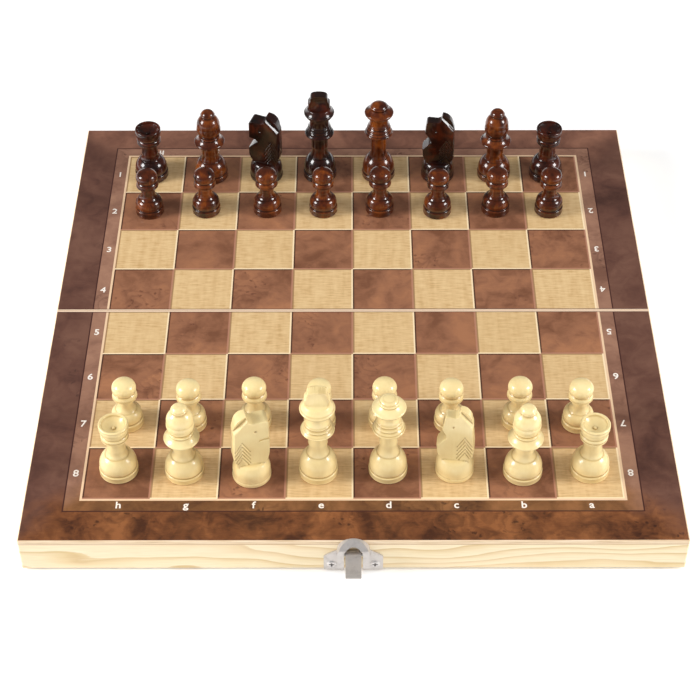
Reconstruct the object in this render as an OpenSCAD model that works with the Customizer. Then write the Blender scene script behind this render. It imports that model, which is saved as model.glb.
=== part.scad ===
// Folding games case: a chess board in two hinged halves that close rim to rim into a flat box,
// with a swinging clasp on the front and the thirty-two turned and carved pieces set out on it.
// The case lies open with the board up. X runs along the hinge line, +Y points to the dark
// side and +Z is up. The origin is the middle of the hinge line, on the plane of the rims.

/* [Case] */
// Width and depth of the open board
board_w = 340; // [300:1:400]
// Height of one half of the case
case_h = 22; // [18:0.5:28]
// Thickness of the four rails round each half
rail_t = 9; // [7:0.5:12]
// Thickness of the board panel on top of the rails
panel_t = 3; // [2:0.25:5]
// Thickness of the lining board inside each half
liner_t = 1; // [0.6:0.1:2]
// Gap left round the lining board
liner_gap = 0.2; // [0.1:0.05:0.5]
// Width of the bevel on the outer edges
edge_ease = 0.7; // [0.3:0.1:1.2]
// Gap between the two halves at the seam
seam_gap = 0.3; // [0.2:0.05:0.6]

/* [Board] */
// Width of one square, along the hinge line
file_w = 35; // [30:0.25:37]
// Depth of one square, across the hinge line
rank_d = 35.5; // [30:0.25:37]

/* [Hinges] */
// Distance of each hinge's middle from the middle of the case
hinge_x = 105; // [60:1:125]
// Length of a hinge
hinge_len = 30; // [20:1:44]
// Height of a hinge leaf
leaf_h = 12; // [9:0.5:14]
// Thickness of the hinge sheet
leaf_t = 0.8; // [0.6:0.1:1]
// Diameter of the hinge knuckles
barrel_d = 2.4; // [2.2:0.1:3]
// Diameter of the hinge pin
hinge_pin_d = 1.1; // [0.8:0.1:1.2]
// Distance of the hinge screws from the ends of the leaf
leaf_screw_inset = 7.5; // [4:0.5:9]
// Height of the hinge screws above the rim
leaf_screw_z = 7.4; // [5.5:0.1:8]
// Diameter of the hinge screws' heads
leaf_head_d = 3; // [2.6:0.1:3.6]
// Diameter of the hinge screws' shanks
hinge_screw_d = 1.6; // [1.2:0.1:2]
// Length of the hinge screws
hinge_screw_len = 7; // [5:0.5:8]

/* [Clasp] */
// Width of the clasp plate across its wings
clasp_w = 30.3; // [28:0.1:36]
// Height of the clasp plate to the top of its dome
clasp_h = 24; // [22:0.5:26]
// Height of the clasp plate's wings
wing_h = 12; // [10:0.5:14]
// Size of the cut corners of the wings
wing_corner = 1.6; // [0.8:0.1:2.4]
// Thickness of the clasp's sheet metal
sheet_t = 0.8; // [0.6:0.1:1]
// Width of the raised housing
housing_w = 16.6; // [15:0.1:18]
// How far the housing stands out from the case
housing_d = 4.6; // [4.4:0.1:6]
// Height of the housing's foot above the rim
housing_foot = 5.8; // [4.5:0.1:7]
// How far below the top of the dome its arc springs from the cheeks
shoulder_drop = 8.6; // [6:0.1:10]
// How far below the top of the dome the hood meets the upright front
crease_drop = 4.8; // [3.5:0.1:6]
// How far below the top of the dome the arched window ends
window_drop = 3.1; // [2.5:0.1:4]
// Gap between the tongue and each side of the window
window_gap = 0.8; // [0.3:0.1:1.2]
// Width of the tongue
tongue_w = 8; // [6:0.1:8.4]
// Thickness of the tongue
tongue_t = 0.9; // [0.7:0.1:1.2]
// How far the closed tongue reaches past the rims
tongue_reach = 4.5; // [4.2:0.1:5.5]
// How far the lip under the tongue is set back from its tip
lip_back = 1.3; // [1:0.1:1.6]
// How far the lip stands down from the tongue
lip_drop = 1.3; // [1:0.1:1.6]
// Height of the tongue's pin above the rim
pivot_z = 14.3; // [13.5:0.1:15]
// Diameter of the tongue's rolled end
tongue_barrel_d = 4.2; // [3.4:0.1:4.4]
// Diameter of the tongue's pin
clasp_pin_d = 1.6; // [1.2:0.1:2]
// How far the resting tongue stands above the horizontal, in degrees
tongue_rise = 6.5; // [0:0.5:15]
// Gap between the housing and each clasp screw's head
head_gap = 0.2; // [0.1:0.1:1]
// Height of the clasp screws above the rim
clasp_screw_z = 4.6; // [4:0.1:6]
// Diameter of the clasp screw heads
clasp_head_d = 5.2; // [4:0.1:5.4]
// Diameter of the clasp screws' shanks
clasp_screw_d = 2.2; // [1.8:0.1:2.6]
// Length of the clasp screws under the head
clasp_screw_len = 7; // [5:0.5:8]
// Height of the dome on the clasp screws' heads
screw_dome = 0.5; // [0.3:0.1:0.8]
// Height of the catch plate on the rear half
catch_h = 12; // [10:0.5:14]
// Size of the cut corners of the catch plate
catch_corner = 4.2; // [2:0.1:5]

/* [Chess pieces] */
// Base diameter of the pawns
pawn_d = 16.8; // [14:0.2:22]
// Height of the pawns
pawn_h = 31.4; // [28:0.2:42]
// Base diameter of the rooks
rook_d = 20.2; // [16:0.2:25]
// Height of the rooks
rook_h = 35.8; // [30:0.2:44]
// Base diameter of the bishops
bishop_d = 20.4; // [16:0.2:25]
// Height of the bishops
bishop_h = 49.2; // [42:0.2:60]
// Base diameter of the knights
knight_d = 20.4; // [16:0.2:25]
// Height of the knights
knight_h = 47; // [40:0.2:56]
// Thickness of a knight's head and neck
knight_t = 8.8; // [7:0.1:10]
// Base diameter of the queens
queen_d = 20.2; // [18:0.2:25]
// Height of the queens
queen_h = 54.4; // [48:0.2:68]
// Base diameter of the kings
king_d = 20.2; // [18:0.2:25]
// Height of the kings
king_h = 61.2; // [56:0.2:78]
// Height of a king's flat-sided finial
finial_h = 11; // [8:0.1:16]
// Thickness of a king's flat-sided finial
finial_t = 5.6; // [4:0.1:8]

/* [Hidden] */
$fn = 48;
// One arc of a turned outline is drawn in this many steps.
arc_steps = 6;
// Small overshoot that keeps a cut clear of the face it opens.
over = 1;
// Running clearance round a hinge pin, and the play round a screw in its hole.
pin_play = 0.05;
screw_play = 0.05;
// Room past a screw's point in its hole.
tip_play = 0.5;
// Play between a hinge knuckle and the wood, and between two knuckles.
knuckle_play = 0.3;

half_w = board_w / 2;
wall_h = case_h - panel_t;
ranks = 8;

// A piece's name ends in its file, and the files run h to a from left to right.
files = ["h", "g", "f", "e", "d", "c", "b", "a"];
king_file = 3;
queen_file = 4;
rook_files = [0, 7];
bishop_files = [1, 6];
knight_files = [2, 5];
// How far each piece was set down from the middle of its square, [right, back], from file h on.
light_back_at = [[0, 2.2], [-0.6, 1.4], [-0.4, -0.6], [-0.7, 1.4], [0.6, 2], [0.4, 2.4],
    [0.9, 0.6], [1, 2]];
light_pawn_at = [[1.5, 1.2], [0.5, 0], [0.2, 1.1], [-0.4, 0.3], [-0.9, 1.2], [-0.7, 0.2],
    [0.6, 1.4], [-2.2, 0.2]];
dark_back_at = [[-2.6, 0.2], [-0.4, -0.4], [-1.1, 0], [-2.8, 0.4], [-1.5, 0.4], [0.3, 0],
    [0.3, 0], [-2.4, 0.2]];
dark_pawn_at = [[-1, 0], [-1.6, 1], [0.6, 1.2], [-0.4, 1], [-1.1, 1.6], [-1.1, -0.2],
    [-0.6, 1.4], [-3.3, 0.6]];
// How far the knights on files f and c are turned from facing left along -X, in degrees.
light_knight_turn = [194, 28];
dark_knight_turn = [-12, 18];

function has(list, i) = len(search(i, list)) > 0;
function back_name(i) =
    i == king_file ? "king" :
    i == queen_file ? "queen" :
    has(rook_files, i) ? str("rook_", files[i]) :
    has(bishop_files, i) ? str("bishop_", files[i]) :
    str("knight_", files[i]);

// ---------- The two halves of the case ----------

// Puts what is built for the front half on the rear half when rear is true.
module on_half(rear) {
    mirror([0, rear ? 1 : 0, 0]) children();
}

// The seam face of a half: the front half touches the hinge line, the rear one leaves the gap.
function seam_y(rear) = rear ? seam_gap : 0;
function half_d(rear) = half_w - seam_y(rear);

// A rail along X with its outer face on y = 0, mitred at both ends. The bevels c0 and c1 ease
// its two outer corners, and rim_ease the long edge of its rim.
module rail(length, c0, c1, rim_ease) {
    end = length / 2;
    intersection() {
        rotate([90, 0, 90])
            linear_extrude(length, center = true)
                polygon([[0, rim_ease], [rim_ease, 0], [rail_t, 0], [rail_t, wall_h], [0, wall_h]]);
        linear_extrude(wall_h)
            polygon(concat(
                c0 > 0 ? [[-end + c0 / 2, c0 / 2], [-end + c0, 0]] : [[-end, 0]],
                c1 > 0 ? [[end - c1, 0], [end - c1 / 2, c1 / 2]] : [[end, 0]],
                [[end - rail_t, rail_t], [-end + rail_t, rail_t]]
            ));
    }
}

// The board panel covers the rails, with its outer edges bevelled and its seam edge square.
module panel(rear) {
    d = half_d(rear);
    c = edge_ease;
    color(rear ? "sienna" : "peru")
    on_half(rear)
    translate([0, -half_w, wall_h])
    intersection() {
        linear_extrude(panel_t)
            polygon([[-half_w + c, 0], [half_w - c, 0], [half_w, c], [half_w, d],
                [-half_w, d], [-half_w, c]]);
        rotate([90, 0, 90])
            linear_extrude(board_w, center = true)
                polygon([[0, 0], [d, 0], [d, panel_t], [c, panel_t], [0, panel_t - c]]);
        rotate([90, 0, 0])
            translate([0, 0, -d])
                linear_extrude(d)
                    polygon([[-half_w, 0], [half_w, 0], [half_w, panel_t - c],
                        [half_w - c, panel_t], [-half_w + c, panel_t], [-half_w, panel_t - c]]);
    }
}

// The long outer rail. It carries the clasp plate on the front half, the catch on the rear.
module clasp_rail(rear) {
    color("blanchedalmond")
    on_half(rear)
    difference() {
        translate([0, -half_w, 0]) rail(board_w, edge_ease, edge_ease, edge_ease);
        clasp_screw_places() screw_hole(clasp_screw_d, clasp_screw_len);
    }
}

// The rail along the seam, cut in to take the hinge leaves and to clear their knuckles.
module hinge_rail(rear) {
    color("blanchedalmond")
    on_half(rear)
    difference() {
        translate([0, -seam_y(rear), 0]) mirror([0, 1, 0]) rail(board_w, 0, 0, 0);
        for (x = [-hinge_x, hinge_x]) translate([x, 0, 0]) {
            translate([-hinge_len / 2 - knuckle_play, -seam_y(rear) - leaf_t, -over])
                cube([hinge_len + 2 * knuckle_play, leaf_t + over, leaf_h + knuckle_play + over]);
            rotate([0, 90, 0])
                cylinder(d = barrel_d + 2 * knuckle_play, h = hinge_len + 2 * knuckle_play,
                    center = true);
        }
        hinge_screw_places(rear) screw_hole(hinge_screw_d, hinge_screw_len);
    }
}

// The short rail at one end of a half. end is -1 on the left and 1 on the right.
module side_rail(rear, end) {
    d = half_d(rear);
    color("blanchedalmond")
    on_half(rear)
    mirror([end > 0 ? 1 : 0, 0, 0])
    translate([-half_w, -half_w + d / 2, 0])
    rotate([0, 0, -90])
        rail(d, 0, edge_ease, edge_ease);
}

// The lining board that backs the panel inside the rails: the inner playing surface.
module liner(rear) {
    inset = rail_t + liner_gap;
    color("tan")
    on_half(rear)
    translate([-half_w + inset, -half_w + inset, wall_h - liner_t])
        cube([board_w - 2 * inset, half_d(rear) - 2 * inset, liner_t]);
}

// ---------- Screws ----------

// A screw's cross-slot, point and dome, as shares of its head or shank.
cross_w = 0.16;
cross_len = 0.56;
cross_depth = 0.6;
point_d = 0.2;
dome_top_d = 0.66;

// A hole along +Y for a screw whose head bears on y = 0.
module screw_hole(d, length) {
    translate([0, -over, 0]) rotate([-90, 0, 0])
        cylinder(d = d + 2 * screw_play, h = over + length + tip_play);
}

// A cross-head wood screw along +Y. Its head fills a countersink of depth head_h.
module wood_screw(head_d, d, head_h, length, dome) {
    rotate([-90, 0, 0])
    difference() {
        union() {
            cylinder(d1 = head_d, d2 = d, h = head_h);
            cylinder(d = d, h = length - d);
            translate([0, 0, length - d]) cylinder(d1 = d, d2 = d * point_d, h = d);
            if (dome > 0)
                translate([0, 0, -dome]) cylinder(d1 = head_d * dome_top_d, d2 = head_d, h = dome);
        }
        for (a = [0, 90]) rotate([0, 0, a])
            translate([-head_d * cross_len / 2, -head_d * cross_w / 2, -dome - over])
                cube([head_d * cross_len, head_d * cross_w, over + dome + head_h * cross_depth]);
    }
}

// ---------- The hinges ----------

// Three knuckles share the length of a hinge.
knuckle_len = hinge_len / 3;
leaf_screw_x = hinge_len / 2 - leaf_screw_inset;

// The four screws of one half, heads flush with the leaves, pointing into the rail.
module hinge_screw_places(rear) {
    for (x = [-hinge_x, hinge_x], dx = [-leaf_screw_x, leaf_screw_x])
        translate([x + dx, -seam_y(rear), leaf_screw_z]) mirror([0, 1, 0]) children();
}

// One leaf: a plate let into the seam face, with knuckles rolled round the pin. The front
// leaf has the two outer knuckles and the rear leaf the middle one.
module hinge_leaf(x, rear) {
    face = -seam_y(rear);
    color("silver")
    difference() {
        on_half(rear)
        translate([x, 0, 0]) union() {
            translate([-hinge_len / 2, face - leaf_t, barrel_d / 2])
                cube([hinge_len, leaf_t, leaf_h - barrel_d / 2]);
            knuckles(rear);
            knuckle_roots(rear, face);
        }
        translate([x, 0, 0]) rotate([0, 90, 0])
            cylinder(d = hinge_pin_d + 2 * pin_play, h = hinge_len + 2 * over, center = true);
        on_half(rear) hinge_screw_places(rear) leaf_countersink();
    }
}

// Spans along X of the knuckles: [start, length] from the hinge's middle.
function knuckle_spans(rear) = rear
    ? [[-knuckle_len / 2 + knuckle_play / 2, knuckle_len - knuckle_play]]
    : [[-hinge_len / 2, knuckle_len - knuckle_play / 2],
       [knuckle_len / 2 + knuckle_play / 2, knuckle_len - knuckle_play / 2]];

module knuckles(rear) {
    for (s = knuckle_spans(rear))
        translate([s[0], 0, 0]) rotate([0, 90, 0]) cylinder(d = barrel_d, h = s[1]);
}

// The sheet that runs from each knuckle up into the leaf.
module knuckle_roots(rear, face) {
    for (s = knuckle_spans(rear))
        translate([s[0], face - leaf_t, 0]) cube([s[1], leaf_t, barrel_d]);
}

module leaf_countersink() {
    rotate([-90, 0, 0]) {
        translate([0, 0, -over]) cylinder(d = hinge_screw_d + 2 * screw_play, h = leaf_t + 2 * over);
        cylinder(d1 = leaf_head_d + 2 * screw_play, d2 = hinge_screw_d + 2 * screw_play, h = leaf_t);
    }
}

module hinge_pin(x) {
    color("dimgray")
    translate([x, 0, 0]) rotate([0, 90, 0])
        cylinder(d = hinge_pin_d, h = hinge_len, center = true);
}

module hinge_screws(rear) {
    color("gray")
    on_half(rear) hinge_screw_places(rear)
        wood_screw(leaf_head_d, hinge_screw_d, leaf_t, hinge_screw_len, 0);
}

// ---------- The clasp ----------

// The rolled end of the tongue runs just clear of the case.
barrel_play = 0.3;
pivot_y = -half_w - barrel_play - tongue_barrel_d / 2;
// The pin's ends stand this far out of the housing's cheeks.
pin_proud = 0.2;
pin_len = housing_w + 2 * pin_proud;
window_w = tongue_w + 2 * window_gap;
clasp_screw_x = housing_w / 2 + head_gap + clasp_head_d / 2;
crease_z = clasp_h - crease_drop;
shoulder_z = clasp_h - shoulder_drop;
window_top = clasp_h - window_drop;

// The two clasp screws of the front half, pointing into the rail.
module clasp_screw_places() {
    for (x = [-clasp_screw_x, clasp_screw_x]) translate([x, -half_w, clasp_screw_z]) children();
}

// Front view of the plate: two wings with sloping shoulders, and the tall dome in the middle.
module plate_outline() {
    w = clasp_w / 2;
    h = housing_w / 2;
    polygon([[-w, 0], [w, 0], [w, wing_h - wing_corner], [w - wing_corner, wing_h], [h, shoulder_z],
        [-h, shoulder_z], [-w + wing_corner, wing_h], [-w, wing_h - wing_corner]]);
    dome_outline(0);
}

// Front view of the housing: upright cheeks, and an arc that springs from their shoulders.
module dome_outline(inset) {
    h = housing_w / 2;
    rise = clasp_h - shoulder_z;
    r = (h * h + rise * rise) / (2 * rise);
    translate([-h + inset, 0]) square([housing_w - 2 * inset, shoulder_z]);
    intersection() {
        translate([0, clasp_h - r]) circle(r - inset);
        translate([-h + inset, shoulder_z]) square([housing_w - 2 * inset, clasp_h]);
    }
}

// The arched window, open at the foot, that the tongue swings through.
module window_outline() {
    r = window_w / 2;
    translate([0, window_top - r]) circle(r);
    translate([-r, -over]) square([window_w, window_top - r + over]);
}

// Stands a front view up against the case face, from y = -half_w - far to -half_w - near.
module on_face(near, far) {
    translate([0, -half_w - near, 0]) rotate([90, 0, 0]) linear_extrude(far - near) children();
}

// Cross-section of the housing from the side: upright front, sloping hood, sloping foot.
// back is how far the section reaches behind the case face.
module housing_section(inset, back) {
    d = housing_d - inset;
    foot = housing_foot + inset;
    polygon([[-back, foot - 2 * sheet_t], [0, foot - 2 * sheet_t], [d, foot],
        [d, crease_z - inset / 2], [sheet_t - inset, clasp_h - inset], [-back, clasp_h - inset]]);
}

// The housing shrunk by inset: the whole of it at 0, and its hollow at the sheet's thickness.
module housing_body(inset, back) {
    intersection() {
        on_face(-back, housing_d) dome_outline(inset);
        translate([0, -half_w, 0]) rotate([90, 0, -90])
            linear_extrude(housing_w, center = true) housing_section(inset, back);
    }
}

// The pressed plate: flat wings, and a raised housing with the arched window.
module clasp_plate() {
    color("silver")
    difference() {
        union() {
            on_face(0, sheet_t) plate_outline();
            housing_body(0, 0);
        }
        housing_body(sheet_t, over);
        on_face(-over, housing_d + over) window_outline();
        clasp_screw_places() translate([0, -sheet_t, 0]) plate_countersink();
        translate([0, pivot_y, pivot_z]) rotate([0, 90, 0])
            cylinder(d = clasp_pin_d + 2 * pin_play, h = housing_w + 2 * over, center = true);
    }
}

// A screw hole through the plate, with a shallow seat for the head.
module plate_countersink() {
    rotate([-90, 0, 0]) {
        translate([0, 0, -over]) cylinder(d = clasp_screw_d + 2 * screw_play, h = sheet_t + 2 * over);
        cylinder(d1 = clasp_head_d + 2 * screw_play, d2 = clasp_screw_d + 2 * screw_play, h = sheet_t);
    }
}

module clasp_pin() {
    color("gray")
    translate([0, pivot_y, pivot_z]) rotate([0, 90, 0])
        cylinder(d = clasp_pin_d, h = pin_len, center = true);
}

module clasp_screws() {
    color("gainsboro")
    clasp_screw_places() translate([0, -sheet_t, 0])
        wood_screw(clasp_head_d, clasp_screw_d, sheet_t, clasp_screw_len, screw_dome);
}

tongue_len = pivot_z + tongue_reach;
// Distance from the pin to the near face of the lip.
lip_start = tongue_len - lip_back - tongue_t;

// The tongue lies along -Y from its pin, before it is tilted to its rest place. Its strip
// leaves the top of the rolled end, and a lip under it grips the catch.
module clasp_tongue() {
    r = tongue_barrel_d / 2;
    color("lightgray")
    translate([0, pivot_y, pivot_z])
    rotate([-tongue_rise, 0, 0])
    difference() {
        union() {
            rotate([0, 90, 0]) cylinder(d = tongue_barrel_d, h = tongue_w, center = true);
            translate([0, 0, r - tongue_t]) linear_extrude(tongue_t) strip_outline();
            translate([-tongue_w / 2, -lip_start - tongue_t, r - tongue_t - lip_drop])
                cube([tongue_w, tongue_t, tongue_t + lip_drop]);
        }
        rotate([0, 90, 0])
            cylinder(d = clasp_pin_d + 2 * pin_play, h = tongue_w + 2 * over, center = true);
    }
}

// Top view of the strip: square at the tip, round where it meets the rolled end.
module strip_outline() {
    w = tongue_w / 2;
    translate([-w, -tongue_len]) square([tongue_w, tongue_len - w]);
    translate([0, -w]) circle(w);
}

// ---------- The catch on the rear half ----------

// With the case shut the keeper lies inside the tongue's lip, under its strip.
lip_play = 0.4;
strip_play = 0.2;
// The keeper stands out this far past each side of the tongue, and this far above the rim.
keeper_side = 0.5;
keeper_z0 = 0.5;
keeper_w = tongue_w + 2 * keeper_side;
keeper_z1 = lip_start - pivot_z - lip_play;
keeper_d = -half_w - pivot_y + tongue_barrel_d / 2 - tongue_t - strip_play;

// The catch is a flat winged plate with a raised keeper that the tongue's lip hooks behind.
module catch_plate() {
    color("silver")
    on_half(true)
    difference() {
        union() {
            on_face(0, sheet_t) catch_outline();
            translate([-keeper_w / 2, -half_w - keeper_d, keeper_z0])
                cube([keeper_w, keeper_d, keeper_z1 - keeper_z0]);
        }
        clasp_screw_places() translate([0, -sheet_t, 0]) plate_countersink();
    }
}

module catch_outline() {
    w = clasp_w / 2;
    c = catch_corner;
    polygon([[-w, 0], [w, 0], [w, catch_h - c], [w - c, catch_h], [-w + c, catch_h],
        [-w, catch_h - c]]);
}

module catch_screws() {
    color("gainsboro")
    on_half(true) clasp_screw_places() translate([0, -sheet_t, 0])
        wood_screw(clasp_head_d, clasp_screw_d, sheet_t, clasp_screw_len, screw_dome);
}

// ---------- Turned pieces ----------
// A turned outline is a path of [radius, height, bulge]. Radius is a share of the base radius
// and height a share of the piece's height. The bulge is that of the edge that leads to the
// point, as a share of its length: above 0 it swells outwards, below 0 it is hollow.

function scaled(path, d, h) = [for (p = path) [p[0] * d / 2, p[1] * h, p[2]]];

// Points of the arc from a to b, without a itself.
function arc_points(a, b, bulge) =
    bulge == 0 ? [[b[0], b[1]]] :
    let (
        chord = [b[0] - a[0], b[1] - a[1]],
        length = norm(chord),
        along = chord / length,
        out = [along[1], -along[0]],
        r = length * (1 + 4 * bulge * bulge) / (8 * bulge),
        half = 2 * atan(2 * bulge),
        mid = [a[0] + b[0], a[1] + b[1]] / 2
    )
    [for (i = [1 : arc_steps])
        let (t = -half + 2 * half * i / arc_steps)
        mid + along * r * sin(t) + out * r * (cos(t) - cos(half))];

function outline(path) = concat(
    [[0, 0], [path[0][0], path[0][1]]],
    [for (i = [1 : len(path) - 1]) each arc_points(path[i - 1], path[i], path[i][2])]
);

module turned(path, d, h) {
    rotate_extrude() polygon(outline(scaled(path, d, h)));
}

// The foot that all pieces share: a ring, a fine groove, and the bell that rises to the neck.
function bell(foot, top, top_r) = [
    [0.96, 0, 0], [1, foot * 0.3, 0.2], [1, foot * 0.8, 0], [0.965, foot, 0.2],
    [0.94, foot * 1.06, 0], [0.97, foot * 1.14, 0], [0.97, foot * 1.7, 0.05],
    [top_r + 0.04, top, 0.1], [top_r - 0.01, top + 0.004, 0]
];

pawn_path = concat(bell(0.148, 0.352, 0.68), [
    [0.5, 0.51, -0.12], [0.53, 0.615, -0.04],
    [0.75, 0.64, 0], [0.78, 0.675, 0.25], [0.68, 0.75, 0.1], [0.66, 0.755, 0],
    [0.6, 0.945, 0.2], [0, 1, 0.084]
]);

rook_path = concat(bell(0.12, 0.372, 0.6), [
    [0.5, 0.5, -0.1], [0.51, 0.685, -0.05],
    [0.62, 0.7, 0], [0.69, 0.75, 0.3], [0.67, 0.81, 0.2], [0.66, 0.815, 0],
    [0.75, 0.9, 0.06], [0.76, 0.97, 0.08], [0.71, 1, 0.25], [0.57, 0.985, 0.05],
    [0.16, 0.9, -0.03], [0.1, 0.885, 0], [0, 0.88, 0]
]);

bishop_path = concat(bell(0.081, 0.262, 0.62), [
    [0.51, 0.38, -0.1], [0.53, 0.485, -0.03],
    [0.84, 0.52, -0.04], [0.85, 0.555, 0.4], [0.62, 0.61, -0.06], [0.6, 0.613, 0],
    [0.58, 0.64, 0.4], [0.52, 0.645, 0],
    [0.69, 0.78, 0.15], [0.38, 0.92, 0.14], [0.37, 0.925, 0],
    [0.41, 0.94, 0.25], [0.4, 0.96, 0.25], [0, 1, 0.2]
]);

queen_path = concat(bell(0.073, 0.272, 0.59), [
    [0.48, 0.42, -0.08], [0.51, 0.565, -0.03],
    [0.78, 0.592, -0.04], [0.79, 0.62, 0.4], [0.71, 0.64, 0.1], [0.66, 0.65, 0],
    [0.66, 0.683, 0.35], [0.61, 0.695, 0], [0.61, 0.72, 0.3], [0.58, 0.73, 0],
    [0.59, 0.81, -0.08], [0.66, 0.825, 0],
    [0.82, 0.86, 0.12], [0.81, 0.89, 0.35], [0.53, 0.93, -0.04], [0.46, 0.935, 0],
    [0.47, 0.968, 0.4], [0.3, 0.99, 0.12], [0, 1, 0.08]
]);

king_path = concat(bell(0.071, 0.248, 0.59), [
    [0.51, 0.38, -0.08], [0.54, 0.5, -0.03],
    [0.8, 0.52, -0.04], [0.82, 0.545, 0.4], [0.71, 0.56, 0.05], [0.67, 0.567, 0],
    [0.67, 0.595, 0.35], [0.64, 0.605, 0], [0.64, 0.625, 0.3], [0.61, 0.635, 0],
    [0.63, 0.72, -0.08], [0.7, 0.735, 0],
    [0.85, 0.765, 0.15], [0.84, 0.795, 0.35], [0.7, 0.835, -0.03], [0.6, 0.845, 0.1], [0, 0.85, 0]
]);

// The knight's foot carries a low turned step that the carved neck stands on.
knight_path = concat(bell(0.055, 0.25, 0.74), [[0.6, 0.262, 0.1], [0, 0.262, 0]]);

module pawn() { turned(pawn_path, pawn_d, pawn_h); }
module rook() { turned(rook_path, rook_d, rook_h); }
module bishop() { turned(bishop_path, bishop_d, bishop_h); }
module queen() { turned(queen_path, queen_d, queen_h); }

// Right half of the finial from its foot to its top: [share of base radius, share of height].
finial_half = [[0.5, 0], [0.58, 0.12], [0.68, 0.3], [0.66, 0.46], [0.53, 0.58], [0.52, 0.68],
    [0.54, 0.8], [0.5, 0.94], [0.4, 0.99], [0.16, 1]];
// The finial's flat sides are cut from a turned blank of this share of the base radius.
finial_blank = 0.68;

// The king's finial is a flat-sided block with a notch in each side, a plain cross in outline.
module king() {
    r = king_d / 2;
    turned(king_path, king_d, king_h);
    translate([0, 0, king_h - finial_h])
    intersection() {
        rotate([90, 0, 0]) linear_extrude(finial_t, center = true)
            polygon([for (side = [1, -1], p = side > 0 ? finial_half : reversed(finial_half))
                [side * p[0] * r, p[1] * finial_h]]);
        cylinder(r = r * finial_blank, h = finial_h);
    }
}

function reversed(list) = [for (i = [len(list) - 1 : -1 : 0]) list[i]];

// ---------- Knights ----------

// Side view of the knight, nose towards -X: [x, height, bulge] as in the turned outlines.
// It runs up the back from the foot, over the ear and down the nose, throat and chest.
knight_side = [
    [-0.66, 0.2, 0], [0.72, 0.2, 0], [0.8, 0.29, 0], [0.95, 0.42, 0.1], [0.98, 0.72, 0.02],
    [0.9, 0.84, 0.08], [0.2, 0.995, 0.16], [0.1, 0.905, 0.03], [-0.1, 0.885, 0],
    [-0.72, 0.895, 0], [-0.93, 0.85, 0.2], [-0.96, 0.66, 0.03], [-0.9, 0.64, 0.2],
    [-0.42, 0.62, 0], [-0.3, 0.6, 0.2], [-0.34, 0.575, 0], [-0.9, 0.475, 0.04],
    [-0.94, 0.42, 0.2], [-0.7, 0.27, 0.08]
];
// The chevrons in the mane: how many, the V-tool's width, and the lean of their strokes. The
// top one's tip, their spacing and the strokes' length are shares of the base or the height.
mane_rows = 5;
groove_w = 0.7;
stroke_lean = 60;
stroke_len = 0.44;
mane_x = 0.25;
mane_z = 0.62;
mane_pitch = 0.06;
// The cut under the ear: how deep it goes, how far it opens below and above its deepest line,
// its lean, and its middle and length as shares of the base or the height.
ear_cut_depth = 2.2;
ear_cut_lip = 1.1;
ear_cut_reach = 4.5;
ear_cut_lean = 46;
ear_cut_x = 0.3;
ear_cut_z = 0.87;
ear_cut_len = 0.8;
// The eye: a small cone drilled at this place, with this width at its mouth and half depth.
eye_x = -0.11;
eye_z = 0.76;
eye_d = 1.3;
eye_depth = 0.5;

module knight() {
    turned(knight_path, knight_d, knight_h);
    difference() {
        intersection() {
            knight_slab();
            // The blank was turned before it was carved, so its back is round.
            cylinder(d = knight_d, h = knight_h);
        }
        for (side = [-1, 1]) {
            ear_cut(side);
            mane(side);
            eye(side);
        }
    }
}

module knight_slab() {
    path = scaled(knight_side, knight_d, knight_h);
    rotate([90, 0, 0]) linear_extrude(knight_t, center = true)
        polygon([for (i = [0 : len(path) - 1])
            each arc_points(path[(i + len(path) - 1) % len(path)], path[i], path[i][2])]);
}

// Chevrons cut into the neck: in each row two steep V-grooves meet at the top.
module mane(side) {
    for (i = [0 : mane_rows - 1], stroke = [-1, 1])
        translate([knight_d * mane_x, side * knight_t / 2, knight_h * (mane_z - i * mane_pitch)])
        rotate([0, stroke * stroke_lean, 0])
        translate([stroke * (knight_d * stroke_len - groove_w) / 2, 0, 0])
        rotate([45, 0, 0])
            cube([knight_d * stroke_len, groove_w, groove_w], center = true);
}

module eye(side) {
    translate([knight_d * eye_x, side * knight_t / 2, knight_h * eye_z])
    rotate([side * 90, 0, 0])
    translate([0, 0, -eye_depth])
        cylinder(d1 = eye_d - eye_depth, d2 = eye_d + eye_depth, h = 2 * eye_depth);
}

// A slanting V cut below the crest frees the ear: a short lip below and a long facet above.
module ear_cut(side) {
    past = 1 + over / ear_cut_depth;
    translate([knight_d * ear_cut_x, side * knight_t / 2, knight_h * ear_cut_z])
    mirror([0, side > 0 ? 0 : 1, 0])
    rotate([0, ear_cut_lean, 0])
    rotate([90, 0, 90]) linear_extrude(knight_d * ear_cut_len, center = true)
        polygon([[-ear_cut_depth, 0], [over, -ear_cut_lip * past], [over, ear_cut_reach * past]]);
}

// ---------- The two sets ----------

// Middle of a square, counted from file h and from the front.
function square_x(i) = (i - (ranks - 1) / 2) * file_w;
function square_y(j) = (j - (ranks - 1) / 2) * rank_d;

// A piece stands on the board: row 0 is the light back rank and row 7 the dark one.
module stand(i, j, at) {
    translate([square_x(i) + at.x, square_y(j) + at.y, case_h]) children();
}

// The back-rank piece of file i, with its knights turned by turns.
module back_piece(i, turns) {
    if (i == king_file) king();
    else if (i == queen_file) queen();
    else if (has(rook_files, i)) rook();
    else if (has(bishop_files, i)) bishop();
    else rotate([0, 0, turns[i == knight_files[0] ? 0 : 1]]) knight();
}

module light_back(i) {
    color("wheat") stand(i, 0, light_back_at[i]) back_piece(i, light_knight_turn);
}

module dark_back(i) {
    color("saddlebrown") stand(i, 7, dark_back_at[i]) back_piece(i, dark_knight_turn);
}

module light_pawn(i) {
    color("wheat") stand(i, 1, light_pawn_at[i]) pawn();
}

module dark_pawn(i) {
    color("saddlebrown") stand(i, 6, dark_pawn_at[i]) pawn();
}

// ---------- What is drawn ----------

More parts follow.
